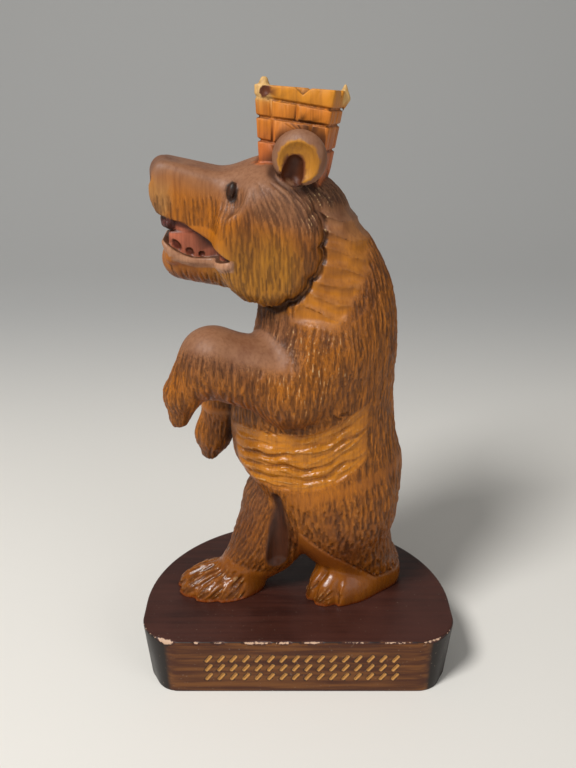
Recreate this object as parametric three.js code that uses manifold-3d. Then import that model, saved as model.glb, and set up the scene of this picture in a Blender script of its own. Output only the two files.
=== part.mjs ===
// A carved wooden bear on a D-shaped plinth, in millimetres, +Z up.
// The bear stands upright and walks towards -X, with its left side towards -Y.
// The origin is the middle of the plinth's underside.

import * as THREE from 'three';
import { mergeVertices } from 'three/addons/utils/BufferGeometryUtils.js';
import { surfaceNet } from 'three/addons/libs/surfaceNet.js';
import { MeshoptSimplifier } from 'three/addons/libs/meshopt_simplifier.module.js';
import Module from 'manifold-3d';

// Driving dimensions

const PLINTH_WIDTH = 79.2;           // straight front edge to round back, seen from the front
const PLINTH_THICKNESS = 15;
const PLINTH_FRONT = -28.35;       // flat front face
const PLINTH_ROUND_CENTRE = -11.25;
const PLINTH_CORNER = 10.5;           // radius of the two front corners
const PLINTH_TAPER = 1.6;          // how far the curved sides draw in towards the bottom
const PLINTH_EDGE = 0.5;           // worn chamfer round the top
const PLINTH_ARC_STEPS = 28;       // straight steps in each round of the outline

const STROKE_LEVELS = [4.6, 7.3, 10];   // middle heights of the rows of cuts on the front
const STROKES_PER_ROW = 14;
const STROKE_BAND = [-20, 27];     // x of the first and last cut of a row
const STROKE_LENGTH = 2.7;
const STROKE_WIDTH = 1;
const STROKE_DEPTH = 0.5;
const STROKE_LEAN = 38;            // degrees from upright, the other way in the next row

const SOLE = PLINTH_THICKNESS;     // the bear stands on the plinth
const GRID = 0.8;                  // cell of the grid that the bear's surface is found on
const BEAR_TRIANGLES = 7000;

// Trunk, from the hips to the crown of the head: height, front x, back x, half width
const TRUNK = [
  [22, 3, 21.5, 9],
  [30, -2, 22.6, 12.5],
  [38, -6, 24.6, 14.6],
  [46, -11.4, 26.6, 15],
  [53, -16, 26.6, 14.4],
  [60, -17, 24.9, 14.4],
  [68, -16.6, 23.9, 14.8],
  [76, -14.4, 23.9, 15.4],
  [84, -11.6, 24.2, 15.6],
  [92, -10, 23.6, 14.6],
  [100, -9, 21.8, 12.8],
  [108, -6, 17.8, 11.4],
  [116, -4, 12.8, 10],
  [124, -2, 7, 8],
];

const SHOULDER_SOFT = 3;           // how far an arm blends into the body at the shoulder
const ARM_EDGE_SOFT = 0.8;         // and along its lower edge, which is undercut

const ELBOW = [-1.5, 77];          // x and z of the point that the waist's creases hang round
const FIRST_CREASE = 14.6;
const CREASE_GAP = 2.45;
const CREASE_DEPTH = 0.8;

const WALL_BASE = [-0.9, 0.6, 124.4];   // foot of the crown, inside the skull
const WALL_TURN = [-6, 3.2, -12];         // tilt away, tilt back and turn, in degrees
const WALL_HALF_FOOT = [7, 6.8];
const WALL_HALF_RIM = [9, 8.6];
const WALL_HEIGHT = 18.4;
const WALL_SUNK = 3;
const COURSE_TOPS = [6.6, 11.5, 15.6, WALL_HEIGHT];
const COURSE_JOINTS = [[], [-0.5, 0.34], [-0.58, 0.06, 0.84], []];   // upright joints, -1 to 1 across
const MORTAR = 0.6;                // height and depth of the cut joints
const RIM_HOLLOW = 2.4;
const RIM_WALL = 2;
const NOTCH_WIDTH = 4.6;
const NOTCH_DEPTH = 1.4;
const TURRET_HEIGHT = 1.7;         // the two corner posts that are left, above the rim
const TURRET_RADIUS = 1.9;

// Distance fields: each takes x, y, z and gives the distance to a surface, less than 0 inside

const { degToRad: radians, lerp, smoothstep } = THREE.MathUtils;

function long(x, y, z = 0) {
  return Math.sqrt(x * x + y * y + z * z);
}

function join(a, b, soft) {
  const near = Math.max(soft - Math.abs(a - b), 0) / soft;
  return Math.min(a, b) - near * near * soft / 4;
}

function cut(a, b, soft) {
  return -join(-a, b, soft);
}

// Axes of a frame turned about x, then y, then z, in degrees
function axesOf([aboutX, aboutY, aboutZ]) {
  const turn = new THREE.Matrix4().makeRotationFromEuler(
    new THREE.Euler(radians(aboutX), radians(aboutY), radians(aboutZ), 'ZYX'));
  return turn.elements;
}

// A field seen from a frame at centre, turned
function placed(field, centre, turn = [0, 0, 0]) {
  const e = axesOf(turn);
  const [cx, cy, cz] = centre;
  return (x, y, z) => {
    const dx = x - cx;
    const dy = y - cy;
    const dz = z - cz;
    return field(
      dx * e[0] + dy * e[1] + dz * e[2],
      dx * e[4] + dy * e[5] + dz * e[6],
      dx * e[8] + dy * e[9] + dz * e[10]);
  };
}

function ellipsoid(centre, [rx, ry, rz], turn) {
  return placed((x, y, z) => {
    const first = long(x / rx, y / ry, z / rz);
    const second = long(x / (rx * rx), y / (ry * ry), z / (rz * rz));
    return first * (first - 1) / Math.max(second, 1e-9);
  }, centre, turn);
}

function roundBox(centre, [hx, hy, hz], round, turn) {
  return placed((x, y, z) => {
    const ox = Math.abs(x) - hx + round;
    const oy = Math.abs(y) - hy + round;
    const oz = Math.abs(z) - hz + round;
    const outside = long(Math.max(ox, 0), Math.max(oy, 0), Math.max(oz, 0));
    return outside + Math.min(Math.max(ox, oy, oz), 0) - round;
  }, centre, turn);
}

// An upright oval cheek with flat sides across y
function oval(centre, [rx, half, rz], round, turn) {
  return placed((x, y, z) => {
    const first = long(x / rx, z / rz);
    const second = long(x / (rx * rx), z / (rz * rz));
    const rim = first * (first - 1) / Math.max(second, 1e-9) + round;
    const side = Math.abs(y) - half + round;
    return long(Math.max(rim, 0), Math.max(side, 0)) + Math.min(Math.max(rim, side), 0) - round;
  }, centre, turn);
}

// A limb from a ball at one end to a ball at the other
function limb(start, startRadius, end, endRadius) {
  const axis = new THREE.Vector3(...end).sub(new THREE.Vector3(...start));
  const length = axis.length();
  axis.normalize();
  const slope = (startRadius - endRadius) / length;
  const rise = Math.sqrt(1 - slope * slope);
  return (x, y, z) => {
    const dx = x - start[0];
    const dy = y - start[1];
    const dz = z - start[2];
    const along = dx * axis.x + dy * axis.y + dz * axis.z;
    const out = Math.sqrt(Math.max(dx * dx + dy * dy + dz * dz - along * along, 0));
    const place = along * rise - out * slope;
    if (place < 0) return long(along, out) - startRadius;
    if (place > length * rise) return long(along - length, out) - endRadius;
    return out * rise + along * slope - startRadius;
  };
}

// A smooth line through the given values, and the value of one column at a height
function lineThrough(rows, column) {
  const slopes = rows.map((row, i) => {
    const before = rows[Math.max(i - 1, 0)];
    const after = rows[Math.min(i + 1, rows.length - 1)];
    return (after[column] - before[column]) / (after[0] - before[0]);
  });
  return (height) => {
    let i = 0;
    while (i < rows.length - 2 && height > rows[i + 1][0]) i += 1;
    const span = rows[i + 1][0] - rows[i][0];
    const t = THREE.MathUtils.clamp((height - rows[i][0]) / span, 0, 1);
    const s = 1 - t;
    const start = rows[i][column] * (1 + 2 * t) + slopes[i] * span * t;
    const end = rows[i + 1][column] * (3 - 2 * t) - slopes[i + 1] * span * s;
    return start * s * s + end * t * t;
  };
}

// Bear

function trunkField() {
  const frontAt = lineThrough(TRUNK, 1);
  const backAt = lineThrough(TRUNK, 2);
  const halfAt = lineThrough(TRUNK, 3);
  const lowest = TRUNK[0][0];
  const highest = TRUNK[TRUNK.length - 1][0];
  return (x, y, z) => {
    const front = frontAt(z);
    const back = backAt(z);
    const half = halfAt(z);
    const deep = (back - front) / 2;
    const dx = x - (back + front) / 2;
    const first = long(dx / deep, y / half);
    const second = long(dx / (deep * deep), y / (half * half));
    const round = first * (first - 1) / Math.max(second, 1e-9);
    return cut(round, Math.min(z - lowest, highest - z), 4);
  };
}

// Creases in the skin below each arm: rings round the elbow, deepest at the sides
function waistCreases(x, y, z) {
  const reach = long(x - ELBOW[0], z - ELBOW[1]);
  const rings = smoothstep(reach, 13, 15) * (1 - smoothstep(reach, 25, 28));
  const side = smoothstep(Math.abs(y), 4, 10) * (y < 0 ? 1 : 0.7);
  const ends = (1 - smoothstep(x, 12, 19)) * (1 - smoothstep(z, 66, 72));
  const wave = Math.cos((reach - FIRST_CREASE) / CREASE_GAP * 2 * Math.PI);
  return CREASE_DEPTH / 2 * (wave + 0.6) * rings * side * ends;
}

function headField() {
  const cheeks = oval([-6.2, 0, 109.7], [12.4, 14, 14.6], 8);
  const skull = ellipsoid([-5.8, 0, 118.6], [12.4, 11.4, 9.8]);
  const snout = roundBox([-22.4, 0, 117.6], [13, 7, 8.3], 4.6, [0, 12, 0]);
  const snoutFront = (x, z) => x + 34.3 - 0.03 * (z - 121) * (z - 121);
  const snoutSide = (x, y) => 7.4 - 0.13 * (-20 - x) - Math.abs(y);
  const noseTip = ellipsoid([-31.4, 0, 125], [2.7, 4, 3.2], [0, 12, 0]);
  const jaw = limb([-12, 0, 103], 6.6, [-27, 0, 104.4], 5.1);
  const mouth = oval([-26.6, 0, 109.2], [11.4, 11.4, 3.7], 0.8, [0, 9, 0]);
  const tongue = roundBox([-20.4, 0, 107.4], [9.6, 4.4, 4.2], 2.8, [0, 4, 0]);
  const eyes = [-1, 1].map((s) => ellipsoid([-15, s * 9, 121.7], [1.5, 1.6, 2.2]));
  const sockets = [-1, 1].map((s) => ellipsoid([-16.4, s * 11.4, 121.4], [3.4, 2.4, 4.2]));
  const nostrils = [-1, 1].map((s) => ellipsoid([-32.8, s * 3.6, 123], [1.9, 1.5, 1.4]));
  return (x, y, z) => {
    let d = join(cheeks(x, y, z), skull(x, y, z), 4);
    let muzzle = cut(snout(x, y, z), snoutFront(x, z), 2.5);
    muzzle = cut(muzzle, snoutSide(x, y), 2);
    muzzle = join(muzzle, noseTip(x, y, z), 1);
    d = join(d, muzzle, 5);
    d = join(d, jaw(x, y, z), 2.5);
    d = cut(d, mouth(x, y, z), 0.6);
    d = join(d, tongue(x, y, z), 0.4);
    for (const socket of sockets) d = cut(d, socket(x, y, z), 1.8);
    for (const eye of eyes) d = join(d, eye(x, y, z), 0.4);
    for (const nostril of nostrils) d = cut(d, nostril(x, y, z), 0.8);
    return d;
  };
}

function earField(side) {
  const shell = ellipsoid([0, side * 10.6, 129.4], [5.7, 3.4, 5.7], [0, 0, side * 14]);
  const bowl = ellipsoid([-1.4, side * 14.4, 128.2], [3.7, 3.6, 3.9], [0, 0, side * 14]);
  return (x, y, z) => cut(shell(x, y, z), bowl(x, y, z), 0.8);
}

function nearArmField() {
  const shoulder = limb([7, -7.4, 84], 10, [-1, -9, 73.5], 9.4);
  const forearm = limb([-1, -8.6, 76], 9.6, [-19.2, -9, 80.8], 8.4);
  const wrist = limb([-21, -9, 82.6], 7.2, [-27.8, -9, 73.2], 4.9);
  const claws = limb([-27.8, -9, 73.2], 4.4, [-28.9, -9, 66.9], 2.7);
  return (x, y, z) => {
    const upper = join(shoulder(x, y, z), forearm(x, y, z), 3);
    return join(join(upper, wrist(x, y, z), 2.5), claws(x, y, z), 1.2);
  };
}

function farArmField() {
  const shoulder = limb([7, 7.4, 84], 10, [-1, 9.4, 69], 9);
  const forearm = limb([-1, 9.4, 69], 8.8, [-18, 10, 63.6], 7.2);
  const paw = limb([-20, 10, 62], 6, [-22.4, 10, 50.6], 4.9);
  return (x, y, z) => {
    const upper = join(shoulder(x, y, z), forearm(x, y, z), 3);
    return join(upper, paw(x, y, z), 2.5);
  };
}

// Grooves between the toes, fanned from a point at the ankle
function toeGrooves(x, y, z, ankle, heading, spread, count, from, to) {
  const dx = x - ankle[0];
  const dy = y - ankle[1];
  const reach = long(dx, dy);
  const bearing = THREE.MathUtils.euclideanModulo(
    Math.atan2(dy, dx) - heading + Math.PI, 2 * Math.PI) - Math.PI;
  const toe = bearing / spread * count;
  const groove = Math.pow(Math.abs(Math.cos(Math.PI * toe)), 6);
  const within = smoothstep(reach, from, to);
  const inFan = 1 - smoothstep(Math.abs(bearing), spread * 0.5, spread * 0.62);
  return 0.9 * groove * within * inFan;
}

function frontLegField() {
  const thigh = limb([-2.4, 2.4, 37.4], 12.4, [-8, -0.5, 27.5], 8.8);
  const shin = limb([-8, -0.5, 27.5], 8.4, [-13.6, -2.6, 21.4], 6.6);
  const foot = ellipsoid([-20.6, -3.4, 15.2], [11.6, 8.8, 6.2], [0, 0, 8]);
  return (x, y, z) => {
    const leg = join(thigh(x, y, z), shin(x, y, z), 3);
    const sole = foot(x, y, z) + toeGrooves(x, y, z, [-10, -2.4], radians(188), radians(80), 5, 11, 16);
    return join(leg, sole, 3);
  };
}

function rearLegField() {
  const nearHaunch = ellipsoid([10.4, -3.4, 40], [15, 12.4, 14.6], [0, 6, 0]);
  const farHaunch = ellipsoid([5, 5.5, 41], [15, 10.4, 13.4]);
  const shank = limb([14, -2, 31], 9.4, [17.6, -0.6, 21.5], 8.6);
  const heel = ellipsoid([19.4, 0.6, 17.6], [8.4, 7.6, 8.4]);
  const foot = ellipsoid([13, -4.6, 16], [12.2, 7.8, 8], [0, 0, 34]);
  return (x, y, z) => {
    const haunches = join(nearHaunch(x, y, z), farHaunch(x, y, z), 4);
    const lower = join(shank(x, y, z), heel(x, y, z), 2.5);
    const sole = foot(x, y, z) + toeGrooves(x, y, z, [20, -0.6], radians(214), radians(80), 5, 12, 16);
    return join(haunches, join(lower, sole, 2), 1.4);
  };
}

// The bear below its crown. A limb is left out at heights that it doesn't reach.
function bearField() {
  const trunk = trunkField();
  const head = headField();
  const ears = [earField(-1), earField(1)];
  const nearArm = nearArmField();
  const farArm = farArmField();
  const frontLeg = frontLegField();
  const rearLeg = rearLegField();
  return (x, y, z) => {
    let d = trunk(x, y, z);
    if (z < 62) {
      d = join(d, rearLeg(x, y, z), 3.5);
      d = join(d, frontLeg(x, y, z), 1.6);
    }
    if (z > 44 && z < 74) d += waistCreases(x, y, z);
    if (z > 88) d = join(d, head(x, y, z), 1);
    if (z > 40 && z < 100) {
      const soft = lerp(ARM_EDGE_SOFT, SHOULDER_SOFT, smoothstep(z, 68, 80));
      d = join(d, nearArm(x, y, z), soft);
      d = join(d, farArm(x, y, z), soft);
    }
    if (z > 120) {
      for (const ear of ears) d = join(d, ear(x, y, z), 1.2);
    }
    return Math.max(d, SOLE - 2 - z);
  };
}

// Middles of the edges that don't have exactly two triangles, where a surface only touches itself
function pinchesOf(positions, indices) {
  const uses = new Map();
  for (let i = 0; i < indices.length; i += 1) {
    const a = indices[i];
    const b = indices[i % 3 === 2 ? i - 2 : i + 1];
    const key = a < b ? a + ' ' + b : b + ' ' + a;
    uses.set(key, (uses.get(key) ?? 0) + 1);
  }
  const pinches = [];
  for (const [key, count] of uses) {
    if (count === 2) continue;
    const [a, b] = key.split(' ').map((id) => new THREE.Vector3().fromArray(positions, id * 3));
    pinches.push({ middle: a.clone().add(b).divideScalar(2), length: a.distanceTo(b) });
  }
  return pinches;
}

// The surface of a field inside a box, with about the given number of triangles
function surfaceOf(field, low, high, cell, triangles) {
  const dims = low.map((value, i) => Math.ceil((high[i] - value) / cell) + 1);
  const top = low.map((value, i) => value + (dims[i] - 1) * cell);
  const net = surfaceNet(dims, field, [low, top]);
  const positions = new Float32Array(net.positions.flat());
  const indices = new Uint32Array(net.cells.flat());
  const [kept] = MeshoptSimplifier.simplify(indices, positions, 3, triangles * 3, 0.05, []);
  const geometry = new THREE.BufferGeometry();
  geometry.setAttribute('position', new THREE.BufferAttribute(positions, 3));
  geometry.setIndex(new THREE.BufferAttribute(kept, 1));
  return { geometry, pinches: pinchesOf(positions, kept) };
}

// Solids

await MeshoptSimplifier.ready;
const wasm = await Module();
wasm.setup();

function solidOf(geometry) {
  const bare = new THREE.BufferGeometry();
  bare.setAttribute('position', geometry.getAttribute('position'));
  if (geometry.index) bare.setIndex(geometry.index);
  const merged = mergeVertices(bare, 1e-4);
  const mesh = new wasm.Mesh({
    numProp: 3,
    vertProperties: new Float32Array(merged.attributes.position.array),
    triVerts: new Uint32Array(merged.index.array),
  });
  mesh.merge();
  return new wasm.Manifold(mesh);
}

function geometryOf(solid) {
  const { vertProperties, triVerts } = solid.getMesh();
  const geometry = new THREE.BufferGeometry();
  geometry.setAttribute('position', new THREE.BufferAttribute(vertProperties, 3));
  geometry.setIndex(new THREE.BufferAttribute(triVerts, 1));
  geometry.computeVertexNormals();
  return geometry;
}

function boxBetween(low, high) {
  const size = low.map((value, i) => high[i] - value);
  const box = new THREE.BoxGeometry(...size);
  box.translate(...low.map((value, i) => (value + high[i]) / 2));
  return box;
}

// Widens a shape with height, so that the crown flares towards its rim.
// Before it, the walls are at -1 and 1 across x and y.
function flared(geometry, inset = 0) {
  const position = geometry.getAttribute('position');
  for (let i = 0; i < position.count; i += 1) {
    const t = position.getZ(i) / WALL_HEIGHT;
    const half = [0, 1].map((k) => lerp(WALL_HALF_FOOT[k], WALL_HALF_RIM[k], t) - inset);
    position.setX(i, position.getX(i) * half[0]);
    position.setY(i, position.getY(i) * half[1]);
  }
  return geometry;
}

function crownSolid() {
  let crown = solidOf(flared(boxBetween([-1, -1, -WALL_SUNK], [1, 1, WALL_HEIGHT]), MORTAR));
  COURSE_TOPS.forEach((top, row) => {
    const bottom = row === 0 ? -WALL_SUNK : COURSE_TOPS[row - 1];
    const last = row === COURSE_TOPS.length - 1;
    let course = solidOf(flared(boxBetween([-1, -1, bottom], [1, 1, last ? top : top - MORTAR])));
    for (const u of COURSE_JOINTS[row]) {
      for (const side of [0, 1, 2, 3]) {
        const joint = boxBetween([u - 0.035, -1.2, bottom - 1], [u + 0.035, -1 + MORTAR / 8, top + 1]);
        joint.rotateZ(side * Math.PI / 2);
        course = course.subtract(solidOf(flared(joint)));
      }
    }
    crown = crown.add(course);
  });
  const rim = WALL_HEIGHT;
  for (const corner of [-1, 1]) {
    const height = TURRET_HEIGHT + 4;
    const turret = new THREE.CylinderGeometry(TURRET_RADIUS * 0.6, TURRET_RADIUS, height, 6);
    turret.rotateX(Math.PI / 2);
    turret.translate(corner * (WALL_HALF_RIM[0] - 0.9), corner * (WALL_HALF_RIM[1] - 0.9),
      rim + TURRET_HEIGHT - height / 2);
    crown = crown.add(solidOf(turret));
  }
  const inner = WALL_HALF_RIM.map((half) => half - RIM_WALL);
  const hollow = boxBetween([-inner[0], -inner[1], rim - RIM_HOLLOW], [inner[0], inner[1], rim + 9]);
  crown = crown.subtract(solidOf(hollow));
  for (const quarter of [0, 1]) {
    const notch = new THREE.CylinderGeometry(NOTCH_WIDTH / 2, NOTCH_WIDTH / 4, NOTCH_DEPTH * 2, 4);
    notch.rotateY(Math.PI / 4);
    notch.rotateX(Math.PI / 2);
    notch.scale(1, 9, 1);
    notch.rotateZ(quarter * Math.PI / 2);
    notch.translate(quarter ? 0 : 0.9, quarter ? 0.9 : 0, rim);
    crown = crown.subtract(solidOf(notch));
  }
  const turn = new THREE.Euler(...WALL_TURN.map(radians), 'ZYX');
  const place = new THREE.Matrix4().compose(
    new THREE.Vector3(...WALL_BASE), new THREE.Quaternion().setFromEuler(turn), new THREE.Vector3(1, 1, 1));
  return crown.transform(place.elements);
}

function bearGeometry() {
  const low = [-37, -22, SOLE - 4];
  const high = [31, 22, 138];
  const { geometry, pinches } = surfaceOf(bearField(), low, high, GRID, BEAR_TRIANGLES);
  let body = solidOf(geometry);
  for (const { middle, length } of pinches) {
    const bead = new THREE.IcosahedronGeometry(length / 2 + GRID / 2);
    bead.translate(middle.x, middle.y, middle.z);
    body = body.add(solidOf(bead));
  }
  const aboveSole = solidOf(boxBetween([-50, -50, SOLE], [50, 50, 200]));
  return geometryOf(body.intersect(aboveSole).add(crownSolid()));
}

// Plinth

// Outline of the plinth, drawn in by a margin: flat front with round corners, half-round back
function plinthOutline(inset) {
  const radius = PLINTH_WIDTH / 2 - inset;
  const corner = PLINTH_CORNER;
  const shape = new THREE.Shape();
  shape.moveTo(-radius + corner, PLINTH_FRONT);
  shape.lineTo(radius - corner, PLINTH_FRONT);
  shape.absarc(radius - corner, PLINTH_FRONT + corner, corner, -Math.PI / 2, 0);
  shape.lineTo(radius, PLINTH_ROUND_CENTRE);
  shape.absarc(0, PLINTH_ROUND_CENTRE, radius, 0, Math.PI);
  shape.lineTo(-radius, PLINTH_FRONT + corner);
  shape.absarc(-radius + corner, PLINTH_FRONT + corner, corner, Math.PI, Math.PI * 1.5);
  return shape;
}

// The plinth's wall: straight at the front, drawn in towards the bottom at the curved sides
function plinthSolid() {
  const geometry = new THREE.ExtrudeGeometry(plinthOutline(0), {
    depth: PLINTH_THICKNESS, steps: 2, bevelEnabled: false, curveSegments: PLINTH_ARC_STEPS });
  const position = geometry.getAttribute('position');
  const topEdge = PLINTH_THICKNESS - PLINTH_EDGE;
  for (let i = 0; i < position.count; i += 1) {
    const x = position.getX(i);
    const y = position.getY(i);
    const level = Math.round(position.getZ(i) / PLINTH_THICKNESS * 2);
    const height = [0, topEdge, PLINTH_THICKNESS][level];
    const drawn = [PLINTH_TAPER, 0.1, PLINTH_EDGE][level];
    const out = Math.hypot(x, y - PLINTH_ROUND_CENTRE);
    const sideways = smoothstep(y, PLINTH_FRONT, PLINTH_FRONT + 6);
    const amount = level === 2 ? drawn : drawn * sideways;
    const scale = (out - amount) / out;
    position.setXYZ(i, x * scale, PLINTH_ROUND_CENTRE + (y - PLINTH_ROUND_CENTRE) * scale, height);
  }
  return solidOf(geometry);
}

// V-shaped cutters in rows along the front face, leaning to and fro from row to row
function strokeSolids() {
  const strokes = [];
  STROKE_LEVELS.forEach((level, row) => {
    for (let i = 0; i < STROKES_PER_ROW; i += 1) {
      const x = THREE.MathUtils.mapLinear(i, 0, STROKES_PER_ROW - 1, ...STROKE_BAND);
      const stroke = new THREE.CylinderGeometry(STROKE_WIDTH / 2, STROKE_WIDTH / 2, STROKE_LENGTH, 4);
      stroke.scale(1, 1, STROKE_DEPTH / STROKE_WIDTH * 2);
      stroke.rotateX(Math.PI / 2);
      stroke.rotateY(radians(row % 2 === 0 ? STROKE_LEAN : -STROKE_LEAN));
      stroke.translate(x, PLINTH_FRONT, level);
      strokes.push(solidOf(stroke));
    }
  });
  return strokes;
}

function plinthGeometry() {
  const cutPlinth = strokeSolids().reduce((plinth, stroke) => plinth.subtract(stroke), plinthSolid());
  return geometryOf(cutPlinth);
}

// Part

function pieceOf(name, geometry, color, roughness) {
  const material = new THREE.MeshStandardMaterial({ color, roughness, metalness: 0 });
  const mesh = new THREE.Mesh(geometry, material);
  mesh.name = name;
  return mesh;
}

const part = new THREE.Group();
part.add(pieceOf('base', plinthGeometry(), '#3a1f16', 0.45));
part.add(pieceOf('bear', bearGeometry(), '#a9631f', 0.5));

export default part;
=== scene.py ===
# A carved and stained wooden bear that wears a crown of brick wall, on a D-shaped plinth.
# It stands in the CAD model's frame. Shapes are worked out in millimetres, and become metres
# when their meshes are made. The bear faces -X, and its left side is towards -Y.

from math import cos, pi, radians, sin

import bpy
import numpy as np
from mathutils import Euler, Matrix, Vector
from mathutils.kdtree import KDTree


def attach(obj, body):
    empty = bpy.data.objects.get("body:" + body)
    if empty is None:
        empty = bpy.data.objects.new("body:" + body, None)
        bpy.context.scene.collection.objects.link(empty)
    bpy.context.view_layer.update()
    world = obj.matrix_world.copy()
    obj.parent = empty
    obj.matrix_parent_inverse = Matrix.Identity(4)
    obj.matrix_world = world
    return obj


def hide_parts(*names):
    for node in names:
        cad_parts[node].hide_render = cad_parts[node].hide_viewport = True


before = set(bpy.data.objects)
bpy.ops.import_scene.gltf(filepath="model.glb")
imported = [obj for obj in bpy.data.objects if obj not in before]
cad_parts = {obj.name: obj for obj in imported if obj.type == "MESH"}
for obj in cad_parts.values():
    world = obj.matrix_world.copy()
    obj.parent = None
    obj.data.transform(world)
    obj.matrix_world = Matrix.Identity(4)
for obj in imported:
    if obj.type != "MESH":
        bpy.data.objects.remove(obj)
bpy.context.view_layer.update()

MM = 0.001
SEED = 11

# Camera

CAMERA_PLACE = (-0.0026, -0.21765, 0.163)
CAMERA_DIP = 22.7                 # degrees below level
CAMERA_LENS = 44.3                # on a frame 36 mm high


def make_camera():
    camera = bpy.data.objects.new("camera", bpy.data.cameras.new("camera"))
    camera.data.sensor_width = 36
    camera.data.lens = CAMERA_LENS
    camera.data.clip_start = 0.01
    camera.location = CAMERA_PLACE
    camera.rotation_euler = (radians(90 - CAMERA_DIP), 0, 0)
    bpy.context.collection.objects.link(camera)
    bpy.context.scene.camera = camera


# Distance fields. Each takes points, one a row, and gives the distance to a surface, less than
# 0 inside it.

def length(vectors):
    return np.sqrt(np.einsum("ij,ij->i", vectors, vectors))


def smoothstep(value, low, high):
    t = np.clip((value - low) / (high - low), 0, 1)
    return t * t * (3 - 2 * t)


def bump(value, middle, half_width):
    """1 at the middle, down to 0 at half_width to either side."""
    return 1 - smoothstep(np.abs(value - middle), 0, half_width)


def join(a, b, soft):
    near = np.maximum(soft - np.abs(a - b), 0) / soft
    return np.minimum(a, b) - near * near * soft / 4


def cut(a, b, soft):
    return -join(-a, b, soft)


def placed(points, centre, turn=(0, 0, 0)):
    """The points seen from a frame at centre, turned about x, then y, then z, in degrees."""
    axes = np.array(Euler([radians(angle) for angle in turn], "XYZ").to_matrix(), np.float32)
    return (points - np.array(centre, np.float32)) @ axes


def ellipsoid(points, centre, radii, turn=(0, 0, 0)):
    local = placed(points, centre, turn)
    radii = np.array(radii, np.float32)
    first = length(local / radii)
    second = length(local / radii ** 2)
    return first * (first - 1) / np.maximum(second, 1e-6)


def round_box(points, centre, half, edge, turn=(0, 0, 0)):
    out = np.abs(placed(points, centre, turn)) - np.array(half, np.float32) + edge
    return length(np.maximum(out, 0)) + np.minimum(out.max(axis=1), 0) - edge


def oval(points, centre, size, edge, turn=(0, 0, 0)):
    """An upright oval with flat sides across y: its half length, half thickness and half height."""
    local = placed(points, centre, turn)
    across = local[:, ::2]
    radii = np.array(size[::2], np.float32)
    first = length(across / radii)
    second = length(across / radii ** 2)
    rim = first * (first - 1) / np.maximum(second, 1e-6) + edge
    side = np.abs(local[:, 1]) - size[1] + edge
    outside = np.hypot(np.maximum(rim, 0), np.maximum(side, 0))
    return outside + np.minimum(np.maximum(rim, side), 0) - edge


def limb(points, start, start_radius, end, end_radius):
    """From a ball at one end to a ball at the other."""
    start = np.array(start, np.float32)
    axis = np.array(end, np.float32) - start
    span = float(np.linalg.norm(axis))
    slope = (start_radius - end_radius) / span
    rise = (1 - slope * slope) ** 0.5
    from_start = points - start
    along = from_start @ (axis / span)
    out = np.sqrt(np.maximum(np.einsum("ij,ij->i", from_start, from_start) - along ** 2, 0))
    place = along * rise - out * slope
    middle = out * rise + along * slope - start_radius
    first = np.hypot(along, out) - start_radius
    last = np.hypot(along - span, out) - end_radius
    return np.where(place < 0, first, np.where(place > span * rise, last, middle))


def line_through(rows, column, height):
    """A smooth line through one column of the rows, whose first column is the height."""
    table = np.array(rows)
    levels = table[:, 0]
    values = table[:, column]
    count = len(levels)
    before = np.maximum(np.arange(count) - 1, 0)
    after = np.minimum(np.arange(count) + 1, count - 1)
    slopes = (values[after] - values[before]) / (levels[after] - levels[before])
    i = np.clip(np.searchsorted(levels, height) - 1, 0, count - 2)
    span = levels[i + 1] - levels[i]
    t = np.clip((height - levels[i]) / span, 0, 1)
    s = 1 - t
    start = values[i] * (1 + 2 * t) + slopes[i] * span * t
    end = values[i + 1] * (3 - 2 * t) - slopes[i + 1] * span * s
    return (start * s * s + end * t * t).astype(np.float32)


def join_within(d, points, field, soft, low, high):
    """Joins a field to d where the points' heights are between low and high."""
    here = (points[:, 2] > low) & (points[:, 2] < high)
    if here.any():
        amount = soft[here] if isinstance(soft, np.ndarray) else soft
        d[here] = join(d[here], field(points[here]), amount)
    return d


# Bear

SOLE = 15                         # top of the plinth, which the bear stands on

# Trunk, from the hips to the crown of the head: height, front x, back x, half width
TRUNK = [
    [22, 3, 21.5, 9],
    [30, -2, 22.6, 12.5],
    [38, -6, 24.6, 14.6],
    [46, -11.4, 26.6, 15],
    [53, -16, 26.6, 14.4],
    [60, -17, 24.9, 14.4],
    [68, -16.6, 23.9, 14.8],
    [76, -14.4, 23.9, 15.4],
    [84, -11.6, 24.2, 15.6],
    [92, -10, 23.6, 14.6],
    [100, -9, 21.8, 12.8],
    [108, -6, 17.8, 11.4],
    [116, -4, 12.8, 10],
    [124, -2, 7, 8],
]
TUFT_TURN = 5.2
TUFT_DEPTH = 0.9
RUFF_UNDERCUT = 0.7               # how much deeper the neck is cut close to the cheek ruffs
SCOOP_HEIGHT = 3.7
SCOOP_DEPTH = 0.55
SHOULDER_SOFT = 3
ARM_EDGE_SOFT = 0.8
FOLD_TURN = -2                    # x from which the waist's folds rise towards the back
FOLD_RISE = 0.022
FOLD_TOP = 61                     # level of the highest crease between the folds
FOLD_GAP = 3.1
FOLD_DEPTH = 0.7


def trunk_field(points):
    x, y, z = points.T
    front = line_through(TRUNK, 1, z)
    back = line_through(TRUNK, 2, z)
    half = line_through(TRUNK, 3, z)
    deep = (back - front) / 2
    dx = x - (back + front) / 2
    first = np.hypot(dx / deep, y / half)
    second = np.hypot(dx / deep ** 2, y / half ** 2)
    around = first * (first - 1) / np.maximum(second, 1e-6)
    return cut(around, np.minimum(z - TRUNK[0][0], TRUNK[-1][0] - z), 4)


def fold_level(points):
    """Height along the folds of the waist, which hang level in front and rise towards the back."""
    x, _, z = points.T
    return z - FOLD_RISE * np.maximum(x - FOLD_TURN, 0) ** 2


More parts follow.
